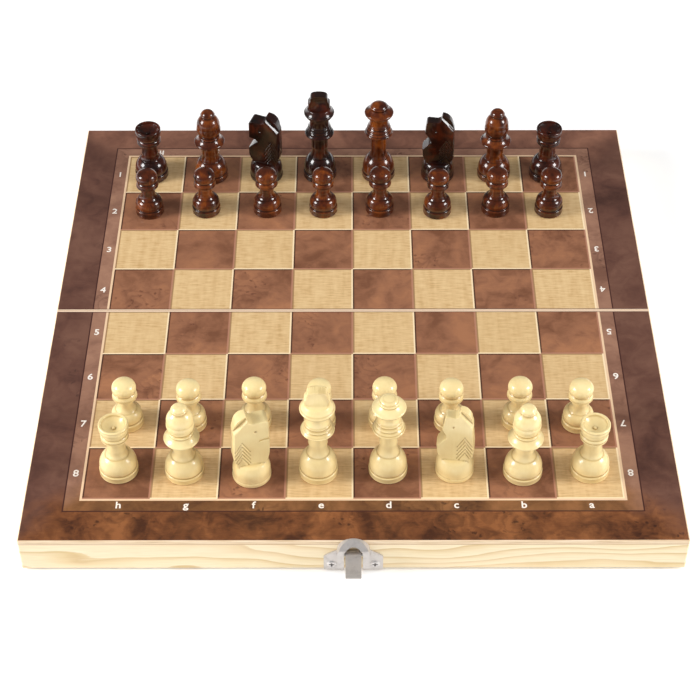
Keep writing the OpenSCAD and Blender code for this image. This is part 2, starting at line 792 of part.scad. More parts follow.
panel(false);  // front_panel
clasp_rail(false);  // front_clasp_rail
hinge_rail(false);  // front_hinge_rail
side_rail(false, -1);  // front_left_rail
side_rail(false, 1);  // front_right_rail
liner(false);  // front_liner
panel(true);  // rear_panel
clasp_rail(true);  // rear_clasp_rail
hinge_rail(true);  // rear_hinge_rail
side_rail(true, -1);  // rear_left_rail
side_rail(true, 1);  // rear_right_rail
liner(true);  // rear_liner
hinge_leaf(-hinge_x, false);  // left_hinge_front_leaf
hinge_leaf(-hinge_x, true);  // left_hinge_rear_leaf
hinge_pin(-hinge_x);  // left_hinge_pin
hinge_leaf(hinge_x, false);  // right_hinge_front_leaf
hinge_leaf(hinge_x, true);  // right_hinge_rear_leaf
hinge_pin(hinge_x);  // right_hinge_pin
hinge_screws(false);  // hinge_screws_front
hinge_screws(true);  // hinge_screws_rear
clasp_plate();
clasp_tongue();
clasp_pin();
clasp_screws();
catch_plate();
catch_screws();
for (i = [0 : ranks - 1]) {
    light_back(i);
    dark_back(i);
    light_pawn(i);
    dark_pawn(i);
}
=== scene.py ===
# Looks for the folding games case: a chess board in two hinged halves with a clasp, and the
# thirty-two pieces that stand on it. Everything is in metres, in the frame of the solid model.
import math
import random

import bmesh
import bpy
from mathutils import Matrix, Vector


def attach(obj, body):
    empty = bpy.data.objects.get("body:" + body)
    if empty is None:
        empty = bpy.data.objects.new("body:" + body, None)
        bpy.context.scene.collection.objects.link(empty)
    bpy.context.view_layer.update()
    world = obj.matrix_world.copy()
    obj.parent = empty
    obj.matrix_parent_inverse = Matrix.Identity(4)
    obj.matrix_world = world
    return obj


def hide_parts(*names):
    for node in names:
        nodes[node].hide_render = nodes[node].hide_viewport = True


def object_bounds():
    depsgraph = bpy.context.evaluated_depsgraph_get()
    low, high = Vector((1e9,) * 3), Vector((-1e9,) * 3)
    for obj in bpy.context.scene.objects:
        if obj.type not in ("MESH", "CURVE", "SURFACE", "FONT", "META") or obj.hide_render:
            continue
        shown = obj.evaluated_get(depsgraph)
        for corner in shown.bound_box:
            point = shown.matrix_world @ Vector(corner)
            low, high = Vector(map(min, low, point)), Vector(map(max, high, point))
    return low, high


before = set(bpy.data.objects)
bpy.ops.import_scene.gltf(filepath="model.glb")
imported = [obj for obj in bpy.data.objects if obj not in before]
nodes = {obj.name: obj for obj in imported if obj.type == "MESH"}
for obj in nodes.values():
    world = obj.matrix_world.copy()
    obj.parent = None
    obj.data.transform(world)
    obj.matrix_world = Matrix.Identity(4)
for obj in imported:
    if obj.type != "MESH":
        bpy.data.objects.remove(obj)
cad_lo, cad_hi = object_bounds()
scene = bpy.context.scene

MM = 0.001
FILES = "hgfedcba"
RANKS = 8
MIDDLE = (RANKS - 1) / 2
BACK_RANK = ("rook_h", "bishop_g", "knight_f", "king", "queen", "knight_c", "bishop_b", "rook_a")

# ---------- Sizes that the part's source also holds, in millimetres ----------

HALF_W = 170.0
CASE_H = 22.0
PANEL_T = 3.0
RAIL_T = 9.0
FILE_W = 35.0
RANK_D = 35.5
# Where each man stands from the middle of its square, from file h: [right, back].
LIGHT_BACK_AT = [
    [0, 2.2], [-0.6, 1.4], [-0.4, -0.6], [-0.7, 1.4],
    [0.6, 2], [0.4, 2.4], [0.9, 0.6], [1, 2],
]
LIGHT_PAWN_AT = [
    [1.5, 1.2], [0.5, 0], [0.2, 1.1], [-0.4, 0.3],
    [-0.9, 1.2], [-0.7, 0.2], [0.6, 1.4], [-2.2, 0.2],
]
DARK_BACK_AT = [
    [-2.6, 0.2], [-0.4, -0.4], [-1.1, 0], [-2.8, 0.4],
    [-1.5, 0.4], [0.3, 0], [0.3, 0], [-2.4, 0.2],
]
DARK_PAWN_AT = [
    [-1, 0], [-1.6, 1], [0.6, 1.2], [-0.4, 1],
    [-1.1, 1.6], [-1.1, -0.2], [-0.6, 1.4], [-3.3, 0.6],
]
# The modelled knight that serves as the pattern, and its turn in degrees from facing along -X.
PATTERN = "light_knight_f"
PATTERN_TURN = 194

# ---------- Sizes of what is printed on the board, in millimetres ----------

# Half sizes, from the middle outwards, then the lines' widths.
GRID = (FILE_W * RANKS / 2, RANK_D * RANKS / 2)
FRAME_LINE = (148.8, 150.0)
GRID_LINE = 1.2
FRAME_LINE_W = 0.7
SQUARE_LINE_W = 0.85
SEAM_LINE_W = 1.0
SEAM_SHADE_W = 0.6
LINE_SOFT = 0.12
PRINT_SOFT = 0.1

# ---------- Colours, as 0-255 screen values ----------

# Each burl veneer has a light, a middle and a dark tone, and then the colour of its eyes.
DARK_SQUARE = ((172, 118, 84), (150, 102, 75), (118, 76, 54), (90, 50, 38))
SIDE_BORDER = ((116, 81, 67), (99, 66, 55), (78, 50, 43), (54, 36, 33))
REAR_BORDER = ((146, 102, 82), (124, 84, 68), (96, 63, 52), (66, 42, 36))
FRONT_BORDER = ((144, 90, 53), (112, 67, 39), (72, 40, 25), (46, 23, 17))
SIDE_BAND = ((170, 128, 104), (150, 110, 90), (116, 80, 65), (86, 56, 46))
FRONT_BAND = ((142, 96, 60), (114, 76, 46), (82, 50, 32), (58, 33, 24))
DARK_POINT = ((124, 78, 58), (100, 60, 46), (74, 42, 36), (52, 30, 28))
RED_POINT = ((178, 112, 76), (156, 92, 60), (126, 72, 50), (92, 50, 38))
# The dark men's lacquers: where it is thick, as it mostly is, and where it is thin.
BLACK_BROWN_TONES = ((14, 3, 2), (36, 9, 3), (80, 28, 8))
AMBER_BROWN_TONES = ((30, 8, 2), (78, 30, 6), (134, 66, 14))
DARK_LINE = (66, 36, 28)
FRAME_DARK = (66, 36, 32)
GRID_CREAM = (234, 200, 164)


# ---------- Materials ----------


class Net:
    """One material and short ways to add nodes to it. Values may be numbers or sockets."""

    def __init__(self, name):
        self.mat = bpy.data.materials.new(name)
        self.mat.use_nodes = True
        self.tree = self.mat.node_tree
        self.tree.nodes.clear()
        self.out = self.add("ShaderNodeOutputMaterial")
        self.bsdf = self.add("ShaderNodeBsdfPrincipled")
        self.tree.links.new(self.bsdf.outputs[0], self.out.inputs["Surface"])

    def add(self, kind, **props):
        node = self.tree.nodes.new(kind)
        for key, value in props.items():
            setattr(node, key, value)
        return node

    def put(self, socket, value):
        if isinstance(value, bpy.types.NodeSocket):
            self.tree.links.new(value, socket)
        elif isinstance(value, (tuple, list)) and socket.type == "RGBA":
            socket.default_value = (*value, 1.0) if len(value) == 3 else value
        else:
            socket.default_value = value

    def shader(self, **values):
        for key, value in values.items():
            self.put(self.bsdf.inputs[key.replace("_", " ")], value)

    def math(self, operation, a, b=0.0):
        node = self.add("ShaderNodeMath", operation=operation)
        for socket, value in zip(node.inputs, (a, b)):
            self.put(socket, value)
        return node.outputs[0]

    def plus(self, a, *others):
        for other in others:
            a = self.math("ADD", a, other)
        return a

    def minus(self, a, b):
        return self.math("SUBTRACT", a, b)

    def times(self, a, b):
        return self.math("MULTIPLY", a, b)

    def over(self, a, b):
        return self.math("DIVIDE", a, b)

    def size(self, a):
        return self.math("ABSOLUTE", a)

    def highest(self, a, b):
        return self.math("MAXIMUM", a, b)

    def lowest(self, a, b):
        return self.math("MINIMUM", a, b)

    def vmath(self, operation, a, b=(0, 0, 0)):
        node = self.add("ShaderNodeVectorMath", operation=operation)
        self.put(node.inputs[0], a)
        self.put(node.inputs["Scale"] if operation == "SCALE" else node.inputs[1], b)
        return node.outputs[0]

    def flat(self, vector, x, y):
        """The vector without its z, stretched along x and y."""
        vx, vy, _ = self.split(vector)
        return self.join(self.times(vx, x), self.times(vy, y))

    def shift(self, vector, by):
        return self.vmath("ADD", vector, by)

    def stretch(self, vector, x, y, z):
        return self.vmath("MULTIPLY", vector, (x, y, z))

    def where(self):
        """The object's own coordinates, in millimetres."""
        return self.vmath("SCALE", self.add("ShaderNodeTexCoord").outputs["Object"], 1 / MM)

    def split(self, vector):
        node = self.add("ShaderNodeSeparateXYZ")
        self.put(node.inputs[0], vector)
        return node.outputs

    def join(self, x=0.0, y=0.0, z=0.0):
        node = self.add("ShaderNodeCombineXYZ")
        for socket, value in zip(node.inputs, (x, y, z)):
            self.put(socket, value)
        return node.outputs[0]

    def noise(self, vector, scale=1.0, detail=3.0, rough=0.5, bend=0.0):
        node = self.add("ShaderNodeTexNoise")
        for key, value in (("Vector", vector), ("Scale", scale), ("Detail", detail),
                           ("Roughness", rough), ("Distortion", bend)):
            self.put(node.inputs[key], value)
        return node.outputs["Fac"]

    def cells(self, vector, scale):
        node = self.add("ShaderNodeTexVoronoi")
        self.put(node.inputs["Vector"], vector)
        self.put(node.inputs["Scale"], scale)
        return node.outputs["Distance"]

    def step(self, value, lo, hi, to_hi=1.0):
        """A soft step from 0 at lo to to_hi at hi."""
        node = self.add("ShaderNodeMapRange", interpolation_type="SMOOTHSTEP")
        for socket, v in zip(node.inputs, (value, lo, hi, 0.0, to_hi)):
            self.put(socket, v)
        return node.outputs[0]

    def ramp(self, fac, *stops):
        node = self.add("ShaderNodeValToRGB")
        points = node.color_ramp.elements
        while len(points) < len(stops):
            points.new(0.5)
        for point, (place, colour) in zip(points, stops):
            point.position = place
            point.color = (*srgb(*colour), 1.0)
        self.put(node.inputs[0], fac)
        return node.outputs[0]

    def mix(self, fac, a, b):
        node = self.add("ShaderNodeMix", data_type="RGBA", clamp_factor=True)
        self.put(node.inputs[0], fac)
        self.put(node.inputs[6], a)
        self.put(node.inputs[7], b)
        return node.outputs[2]

    def bump(self, height, distance, strength):
        node = self.add("ShaderNodeBump")
        self.put(node.inputs["Height"], height)
        self.put(node.inputs["Distance"], distance)
        self.put(node.inputs["Strength"], strength)
        return node.outputs[0]

    def tag(self, name, kind="GEOMETRY"):
        """A number kept on the mesh's points, or on the object."""
        node = self.add("ShaderNodeAttribute", attribute_name=name, attribute_type=kind)
        return node.outputs["Fac"]


def srgb(r, g, b):
    """A colour given as 0-255 screen values, as the shader wants it."""
    return tuple(((c / 255 + 0.055) / 1.055) ** 2.4 if c > 10 else c / 3294.6 for c in (r, g, b))


def burl(net, place, tones, clusters, spread=0.16):
    """Printed burl veneer: cloudy tone, mottling, fine fibres, and clusters of small eyes."""
    light, mid, dark, eyes = tones
    cloud = net.noise(place, scale=0.02, detail=4, rough=0.55, bend=1.2)
    mottle = net.noise(place, scale=0.11, detail=6, rough=0.62, bend=0.8)
    fibre = net.noise(net.stretch(place, 0.25, 1.6, 1.0), scale=0.9, detail=3, rough=0.6)
    tone = net.plus(net.times(cloud, 0.62), net.times(mottle, 0.33), net.times(fibre, 0.07))
    colour = net.ramp(tone, (0.5 - spread, dark), (0.5, mid), (0.5 + spread, light))
    crowd = net.noise(place, scale=0.03, detail=2, bend=0.4)
    group = net.step(crowd, clusters, clusters + 0.1)
    bent = net.shift(place, net.vmath("SCALE", net.join(mottle, cloud), 14.0))
    eye = net.step(net.cells(bent, 0.24), 0.34, 0.12)
    swirl = net.math("SINE", net.times(net.cells(bent, 0.055), 30.0))
    swirl = net.times(net.step(swirl, 0.2, 1.0), 0.35)
    marks = net.times(net.highest(eye, swirl), group)
    return net.mix(net.times(marks, 0.75), colour, srgb(*eyes)), mottle


def printed_squares(net, place, x, y):
    """The squares: burl or dashed pale figure, each with a light line inside its right and near
    edges and a dark one opposite. Gives the colour and the burl's mottling."""
    u = net.plus(net.over(x, FILE_W), RANKS / 2)
    v = net.plus(net.over(y, RANK_D), RANKS / 2)
    column, row = net.math("FLOOR", u), net.math("FLOOR", v)
    light_square = net.math("MODULO", net.plus(column, row), 2.0)
    chance = net.add("ShaderNodeTexWhiteNoise", noise_dimensions="3D")
    net.put(chance.inputs[0], net.join(column, row, 3.0))
    shifted = net.shift(place, net.vmath("SCALE", chance.outputs["Color"], 400.0))
    luck = net.times(chance.outputs["Value"], 0.25)

    dark, mottle = burl(net, shifted, DARK_SQUARE, 0.53, 0.11)
    dark = net.mix(luck, dark, srgb(132, 88, 66))

    dashes = net.noise(net.flat(shifted, 0.13, 1.15), detail=4, rough=0.62)
    figure = net.noise(net.flat(shifted, 0.3, 0.05), detail=2)
    pale = net.ramp(net.plus(net.times(dashes, 0.7), net.times(figure, 0.3)),
                    (0.35, (196, 158, 106)), (0.47, (216, 181, 131)), (0.61, (228, 196, 146)))
    pale = net.mix(luck, pale, srgb(204, 172, 122))

    fx = net.times(net.math("FRACT", u), FILE_W)
    fy = net.times(net.math("FRACT", v), RANK_D)
    near = net.lowest(net.minus(FILE_W, fx), fy)
    far = net.lowest(fx, net.minus(RANK_D, fy))
    lit = net.step(near, SQUARE_LINE_W + LINE_SOFT, SQUARE_LINE_W - LINE_SOFT)
    shade = net.step(far, SQUARE_LINE_W + LINE_SOFT, SQUARE_LINE_W - LINE_SOFT)
    dark = net.mix(net.times(shade, 0.85), dark, srgb(*DARK_LINE))
    dark = net.mix(net.times(lit, 0.8), dark, srgb(184, 132, 108))
    pale = net.mix(net.times(shade, 0.8), pale, srgb(146, 108, 74))
    pale = net.mix(net.times(lit, 0.95), pale, srgb(250, 226, 186))
    return net.mix(light_square, dark, pale), mottle


def printed_border(net, place, x, y):
    """The border and the band inside it, darker and more purple down the sides than in front."""
    ax, ay = net.size(x), net.size(y)
    wander = net.times(net.minus(net.noise(place, scale=0.035), 0.5), 50.0)
    along = net.step(net.plus(net.minus(ay, ax), wander), -22.0, 8.0)
    front = net.times(along, net.step(y, 20.0, -20.0))
    side, _ = burl(net, place, SIDE_BORDER, 0.6, 0.13)
    rear, _ = burl(net, net.shift(place, (300, 90, 0)), REAR_BORDER, 0.66, 0.12)
    near, _ = burl(net, net.shift(place, (0, 500, 70)), FRONT_BORDER, 0.5, 0.09)
    border = net.mix(net.times(along, net.minus(1.0, front)), side, rear)
    border = net.mix(front, border, near)
    band, _ = burl(net, net.shift(place, (70, 0, 300)), SIDE_BAND, 0.56)
    near_band, _ = burl(net, net.shift(place, (20, 90, 500)), FRONT_BAND, 0.54, 0.12)
    return border, net.mix(front, band, near_band)


def board_material():
    """The printed veneer on the board, with its lines, and the bare edge of the sheet below."""
    net = Net("board_veneer")
    place = net.where()
    x, y, z = net.split(place)
    squares, mottle = printed_squares(net, place, x, y)
    border, band = printed_border(net, place, x, y)
    ax, ay = net.size(x), net.size(y)

    def out_of(half_x, half_y):
        """How far a point lies outside a rectangle round the middle."""
        return net.highest(net.minus(ax, half_x), net.minus(ay, half_y))

    from_grid, from_frame = out_of(*GRID), out_of(*FRAME_LINE)
    top = net.mix(net.step(from_grid, -PRINT_SOFT, PRINT_SOFT), squares, srgb(*GRID_CREAM))
    top = net.mix(net.step(from_grid, GRID_LINE - LINE_SOFT, GRID_LINE + LINE_SOFT), top, band)
    top = net.mix(net.step(from_frame, -LINE_SOFT, LINE_SOFT), top, srgb(*FRAME_DARK))
    frame_end = net.step(from_frame, FRAME_LINE_W - LINE_SOFT, FRAME_LINE_W + LINE_SOFT)
    top = net.mix(frame_end, top, border)
    seam_edge = SEAM_LINE_W + SEAM_SHADE_W
    seam_dark = net.step(ay, seam_edge + 0.15, seam_edge - 0.15)
    top = net.mix(net.times(seam_dark, 0.7), top, srgb(78, 44, 36))
    seam_light = net.step(ay, SEAM_LINE_W + LINE_SOFT, SEAM_LINE_W - LINE_SOFT)
    top = net.mix(seam_light, top, srgb(236, 208, 180))

    # The panel's edge is bare: pale sheet with thin layers, darker where it meets the rail.
    foot = CASE_H - PANEL_T
    layers = net.noise(net.join(net.times(net.plus(x, y), 0.03), z), scale=1.4, detail=3, rough=0.6)
    edge = net.ramp(layers, (0.3, (206, 176, 138)), (0.5, (232, 206, 172)), (0.7, (243, 222, 194)))
    edge = net.mix(net.step(z, foot + 0.5, foot + 0.2), edge, srgb(196, 160, 122))
    printed = net.step(z, CASE_H - 0.12, CASE_H - 0.04)
    fine = net.noise(place, scale=1.3, detail=2)
    rough = net.plus(net.times(printed, -0.2), net.times(fine, 0.16), 0.5)
    net.shader(Base_Color=net.mix(printed, edge, top), Roughness=rough, Specular_IOR_Level=0.4,
               Normal=net.bump(net.plus(fine, mottle), 0.00002, 0.6))
    return net.mat


def pine_material(name, along):
    """Pale pine: long wavy growth rings along one axis, fine fibres, and broad paler patches."""
    net = Net(name)
    x, y, z = net.split(net.where())
    length, across = (x, y) if along == "x" else (y, x)
    drift = net.join(net.times(length, 0.0085), net.times(across, 0.02), net.times(z, 0.03))
    flow = net.noise(drift, detail=2.5, rough=0.45)
    slant = net.plus(net.times(z, 0.75), net.times(across, 0.22))
    wobble = net.noise(net.join(net.times(length, 0.05), across, z), scale=0.35, rough=0.55)
    rings = net.plus(net.times(flow, 34.0), slant, net.times(wobble, 1.6))
    ring_width = 6.2
    colour = net.ramp(net.math("FRACT", net.over(rings, ring_width)),
                      (0.0, (251, 236, 203)), (0.55, (247, 229, 192)), (0.84, (233, 208, 160)),
                      (0.93, (219, 189, 138)), (0.985, (233, 210, 166)), (1.0, (250, 235, 202)))
    strands = net.join(net.times(length, 0.06), net.times(across, 2.2), net.times(z, 2.2))
    fibre = net.noise(strands, detail=4, rough=0.62)
    colour = net.mix(net.step(fibre, 0.58, 0.4, 0.3), colour, srgb(226, 198, 150))
    broad = net.noise(net.join(net.times(length, 0.02), across, net.times(z, 0.2)),
                      scale=0.4, detail=2)
    colour = net.mix(net.step(broad, 0.42, 0.68, 0.35), colour, srgb(252, 228, 196))
    net.shader(Base_Color=colour, Roughness=net.plus(net.times(fibre, 0.2), 0.4),
               Specular_IOR_Level=0.35, Normal=net.bump(fibre, 0.00005, 0.5))
    return net.mat


def lining_material():
    """Lining boards with the plain tapering points of a backgammon table."""
    net = Net("lining_board")
    place = net.where()
    x, y, _ = net.split(place)
    inner_w, inner_d = HALF_W - RAIL_T, HALF_W - 2 * RAIL_T
    points, reach, margin = 6, 128.0, 1.5
    pitch = inner_d / points
    share = net.over(net.minus(net.size(y), RAIL_T), pitch)
    off = net.size(net.minus(net.math("FRACT", share), 0.5))
    out = net.over(net.minus(inner_w, net.size(x)), reach)
    limit = net.times(net.minus(1.0, out), 0.5)
    gap = net.times(net.minus(limit, off), pitch)
    is_point = net.step(gap, 0.0, 0.2)
    outline = net.times(is_point, net.step(gap, 0.9, 0.7))
    turn = net.plus(net.math("FLOOR", share), net.math("GREATER_THAN", x, 0.0),
                    net.math("GREATER_THAN", y, 0.0))
    dark_turn = net.math("MODULO", turn, 2.0)
    fibre = net.noise(net.stretch(place, 0.06, 1.6, 1.0), detail=4, rough=0.6)
    field = net.ramp(fibre, (0.32, (206, 170, 118)), (0.55, (226, 194, 144)),
                     (0.7, (236, 208, 162)))
    dark, _ = burl(net, place, DARK_POINT, 0.6)
    red, _ = burl(net, net.shift(place, (90, 40, 9)), RED_POINT, 0.6)
    colour = net.mix(is_point, field, net.mix(dark_turn, red, dark))
    colour = net.mix(net.times(outline, 0.8), colour, srgb(60, 36, 30))
    rim = net.lowest(net.minus(inner_w, net.size(x)), net.minus(net.size(y), RAIL_T))
    colour = net.mix(net.step(rim, margin, margin - 0.3), colour, srgb(214, 178, 128))
    net.shader(Base_Color=colour, Roughness=net.plus(net.times(fibre, 0.2), 0.42),
               Specular_IOR_Level=0.35, Normal=net.bump(fibre, 0.00003, 0.5))
    return net.mat


def metal_material(name, tint, rough, brushed=(1.0, 1.0, 1.0), metallic=1.0):
    """Plated sheet metal: satin roughness in fine strokes, cloudy tone, small scratches."""
    net = Net(name)
    place = net.where()
    stroke = net.noise(net.stretch(place, *brushed), scale=5.0, rough=0.6)
    cloud = net.noise(place, scale=0.35, detail=4, rough=0.55, bend=0.3)
    scratch = net.noise(net.stretch(place, 7.0, 0.7, 3.0), detail=2, rough=0.7, bend=1.5)
    scratch = net.step(scratch, 0.66, 0.72)
    dull = tuple(c * 0.78 for c in tint)
    colour = net.mix(net.step(cloud, 0.45, 0.75, 0.4), srgb(*tint), srgb(*dull))
    value = net.plus(net.times(stroke, 0.16), rough - 0.08, net.times(cloud, 0.1))
    value = net.minus(value, net.times(scratch, 0.08))
    height = net.plus(net.times(stroke, 0.5), net.times(scratch, -0.4))
    net.shader(Base_Color=colour, Metallic=metallic, Roughness=value,
               Normal=net.bump(height, 0.00002, 0.4))
    return net.mat


def own_place(net, tone):
    """Coordinates that differ from man to man, so that no two have the same grain."""
    return net.shift(net.where(), net.join(z=net.times(tone, 900.0)))


def cream_material():
    """Cream lacquer over pale wood: faint upright grain, and painted shade that darkens its grooves
    towards brown.
    """
    net = Net("cream_lacquer")
    place = own_place(net, net.tag("tone", "OBJECT"))
    grain = net.noise(net.stretch(place, 0.85, 0.85, 0.07), detail=4, rough=0.55, bend=0.4)
    cloud = net.noise(place, scale=0.09, detail=2)
    colour = net.ramp(net.plus(net.times(grain, 0.25), net.times(cloud, 0.75)),
                      (0.3, (238, 211, 149)), (0.5, (244, 220, 160)), (0.7, (249, 228, 170)))
    # Painted shade: the deeper a point lies in a groove, the more its cream is darkened to brown.
    colour = net.mix(net.times(net.tag("groove"), 0.9), colour, srgb(182, 144, 78))
    net.shader(Base_Color=colour, Roughness=net.plus(net.times(grain, 0.12), 0.26),
               Normal=net.bump(grain, 0.00002, 0.25))
    net.shader(Specular_IOR_Level=0.5, Coat_Weight=0.6, Coat_Roughness=0.16)
    return net.mat


def dark_material(name, deep, body, glow):
    """Tinted gloss lacquer over wood: amber where it is thin, near black in its grooves, where
    thicker lacquer and painted shade both darken it.
    """
    net = Net(name)
    tone = net.tag("tone", "OBJECT")
    place = own_place(net, tone)
    grain = net.noise(net.stretch(place, 0.8, 0.8, 0.08), detail=4, rough=0.6, bend=0.5)
    cloud = net.noise(place, scale=0.12, detail=2, bend=0.5)
    value = net.plus(net.times(grain, 0.25), net.times(cloud, 0.75),
                     net.times(net.minus(tone, 0.5), 0.16))
    colour = net.ramp(value, (0.3, deep), (0.5, body), (0.72, glow))
    # Grooves go near black: partly the thicker lacquer that lies there, partly painted shade.
    colour = net.mix(net.times(net.tag("groove"), 0.85), colour, srgb(20, 9, 6))
    net.shader(Base_Color=colour, Roughness=net.plus(net.times(grain, 0.15), 0.3),
               Normal=net.bump(grain, 0.000015, 0.25))
    net.shader(Specular_IOR_Level=0.15, Coat_Weight=1.0, Coat_Roughness=0.1)
    return net.mat


def ink_material():
    """The white of the printed coordinates."""
    net = Net("white_ink")
    speck = net.noise(net.where(), scale=2.2, detail=3, rough=0.6)
    colour = net.ramp(speck, (0.3, (224, 205, 190)), (0.5, (250, 242, 232)))
    net.shader(Base_Color=colour, Roughness=0.5)
    return net.mat


BOARD = board_material()
PINE = {axis: pine_material("pale_pine_" + axis, axis) for axis in "xy"}
LINING = lining_material()
# Part of the plate's finish scatters light like satin plating does, so it is not all metallic.
NICKEL = metal_material("nickel_sheet", (204, 198, 194), 0.34, (0.6, 0.6, 2.5), metallic=0.5)
SCREW = metal_material("screw_metal", (216, 212, 210), 0.26, metallic=0.7)
STEEL = metal_material("hinge_steel", (200, 198, 194), 0.34, (2.5, 0.6, 0.6))
PIN = metal_material("pin_steel", (176, 174, 172), 0.3, (0.4, 2.0, 2.0))
CREAM = cream_material()
BLACK_BROWN = dark_material("black_brown_lacquer", *BLACK_BROWN_TONES)
AMBER_BROWN = dark_material("amber_brown_lacquer", *AMBER_BROWN_TONES)
INK = ink_material()


def dress(name, material):
    """Puts a material on every slot of a CAD node."""
    obj = nodes[name]
    for slot in obj.material_slots:
        slot.material = material
    if not obj.material_slots:
        obj.data.materials.append(material)


for half in ("front", "rear"):
    dress(half + "_panel", BOARD)
    dress(half + "_liner", LINING)
    for rail, axis in (("clasp", "x"), ("hinge", "x"), ("left", "y"), ("right", "y")):
        dress(f"{half}_{rail}_rail", PINE[axis])
    dress("hinge_screws_" + half, SCREW)
for side in ("left", "right"):
    dress(side + "_hinge_front_leaf", STEEL)
    dress(side + "_hinge_rear_leaf", STEEL)
    dress(side + "_hinge_pin", PIN)
for name in ("clasp_plate", "clasp_tongue", "catch_plate"):
    dress(name, NICKEL)
for name in ("clasp_screws", "catch_screws"):
    dress(name, SCREW)
dress("clasp_pin", PIN)


# The sheet metal's sharp edges are rounded a little, so that they catch the light.
for name in ("clasp_plate", "clasp_tongue", "catch_plate"):
    bevel = nodes[name].modifiers.new("ease", "BEVEL")
    bevel.width = 0.18 * MM
    bevel.segments = 2
    bevel.limit_method = "ANGLE"
    bevel.angle_limit = math.radians(30)
    bevel.harden_normals = False


# ---------- Turned men ----------
# Each path holds points as (share of the base radius, share of the height, bulge of the edge that
# leads there).


def bell(foot, top, top_r):
    """The foot, the groove above it, and the bell that rises from there to top."""
    return [
        (0.96, 0, 0), (1, foot * 0.3, 0.2), (1, foot * 0.72, 0), (0.955, foot * 0.96, 0.25),
        (0.915, foot, 0), (0.915, foot * 1.1, 0), (0.96, foot * 1.2, 0.1), (0.97, foot * 1.7, 0.05),
        (top_r + 0.04, top, 0.1), (top_r - 0.01, top + 0.004, 0),
    ]


PAWN = bell(0.148, 0.352, 0.68) + [
    (0.5, 0.51, -0.12), (0.53, 0.615, -0.04),
    (0.75, 0.64, 0), (0.78, 0.675, 0.25), (0.68, 0.75, 0.1), (0.66, 0.755, 0),
    (0.6, 0.945, 0.2), (0, 1, 0.084),
]
ROOK = bell(0.12, 0.372, 0.6) + [
    (0.5, 0.5, -0.1), (0.51, 0.685, -0.05),
    (0.62, 0.7, 0), (0.69, 0.75, 0.3), (0.67, 0.81, 0.2), (0.66, 0.815, 0),
    (0.75, 0.9, 0.06), (0.76, 0.97, 0.08), (0.71, 1, 0.25), (0.62, 0.99, 0.05),
    (0.6, 0.97, 0), (0.56, 0.962, 0), (0.14, 0.895, -0.05), (0.09, 0.893, 0),
    (0.06, 0.915, 0.2), (0, 0.92, 0.1),
]
BISHOP = bell(0.081, 0.262, 0.62) + [
    (0.51, 0.38, -0.1), (0.53, 0.485, -0.03),
    (0.84, 0.52, -0.04), (0.85, 0.555, 0.4), (0.62, 0.61, -0.06), (0.6, 0.613, 0),
    (0.58, 0.64, 0.4), (0.52, 0.645, 0),
    (0.69, 0.78, 0.15), (0.38, 0.92, 0.14), (0.37, 0.925, 0),
    (0.41, 0.94, 0.25), (0.4, 0.96, 0.25), (0, 1, 0.2),
]
QUEEN = bell(0.073, 0.272, 0.59) + [
    (0.48, 0.42, -0.08), (0.51, 0.565, -0.03),
    (0.78, 0.592, -0.04), (0.79, 0.62, 0.4), (0.71, 0.64, 0.1), (0.66, 0.65, 0),
    (0.66, 0.683, 0.35), (0.61, 0.695, 0), (0.61, 0.72, 0.3), (0.58, 0.73, 0),
    (0.59, 0.81, -0.08), (0.66, 0.825, 0),
    (0.82, 0.86, 0.12), (0.81, 0.89, 0.35), (0.53, 0.93, -0.04), (0.46, 0.935, 0),
    (0.47, 0.968, 0.4), (0.3, 0.99, 0.12), (0, 1, 0.08),
]
KING = bell(0.071, 0.248, 0.59) + [
    (0.51, 0.38, -0.08), (0.54, 0.5, -0.03),
    (0.8, 0.52, -0.04), (0.82, 0.545, 0.4), (0.71, 0.56, 0.05), (0.67, 0.567, 0),
    (0.67, 0.595, 0.35), (0.64, 0.605, 0), (0.64, 0.625, 0.3), (0.61, 0.635, 0),
    (0.63, 0.72, -0.08), (0.7, 0.735, 0),
    (0.85, 0.765, 0.15), (0.84, 0.795, 0.35), (0.7, 0.835, -0.03), (0.6, 0.845, 0.1), (0, 0.85, 0),
]
# Right half of the king's finial from its foot to its top, as shares of the base radius and of its
# height. Then its height, its thickness, and its blank's share of the base radius.
FINIAL_HALF = [
    (0.5, 0), (0.58, 0.12), (0.68, 0.3), (0.66, 0.46), (0.53, 0.58), (0.52, 0.68),
    (0.53, 0.78), (0.47, 0.9), (0.34, 0.97), (0.14, 1),
]
FINIAL_H, FINIAL_T, FINIAL_BLANK = 11.0, 5.6, 0.68

# Each kind of turned man: its path, base diameter and height.
KINDS = {
    "pawn": (PAWN, 16.8, 31.4),
    "rook": (ROOK, 20.2, 35.8),
    "bishop": (BISHOP, 20.4, 49.2),
    "queen": (QUEEN, 20.2, 54.4),
    "king": (KING, 20.2, 61.2),
}
ARC_STEPS = 10
ROUND_STEPS = 72
# Corners that turn by more than this many degrees are rounded, with this radius in mm and over no
# more than this share of the edges next to them.
SHARP_TURN = 14
CORNER_R = 0.22
CORNER_SHARE = 0.45
# An inner corner of this many degrees counts as a full groove, which fades over this many mm.
GROOVE_TURN = 70
GROOVE_REACH = 0.45


def arc(a, b, bulge):
    """Points of the arc from a to b, without a."""
    if bulge == 0:
        return [b]
    chord = b - a
    length = chord.length
    along = chord / length
    out = Vector((along.y, -along.x))
    radius = length * (1 + 4 * bulge * bulge) / (8 * bulge)
    half = 2 * math.atan(2 * bulge)
    mid = (a + b) / 2
    found = []
    for i in range(1, ARC_STEPS + 1):
        t = -half + 2 * half * i / ARC_STEPS
        rise = math.cos(t) - math.cos(half)
        found.append(mid + along * radius * math.sin(t) + out * radius * rise)
    return found


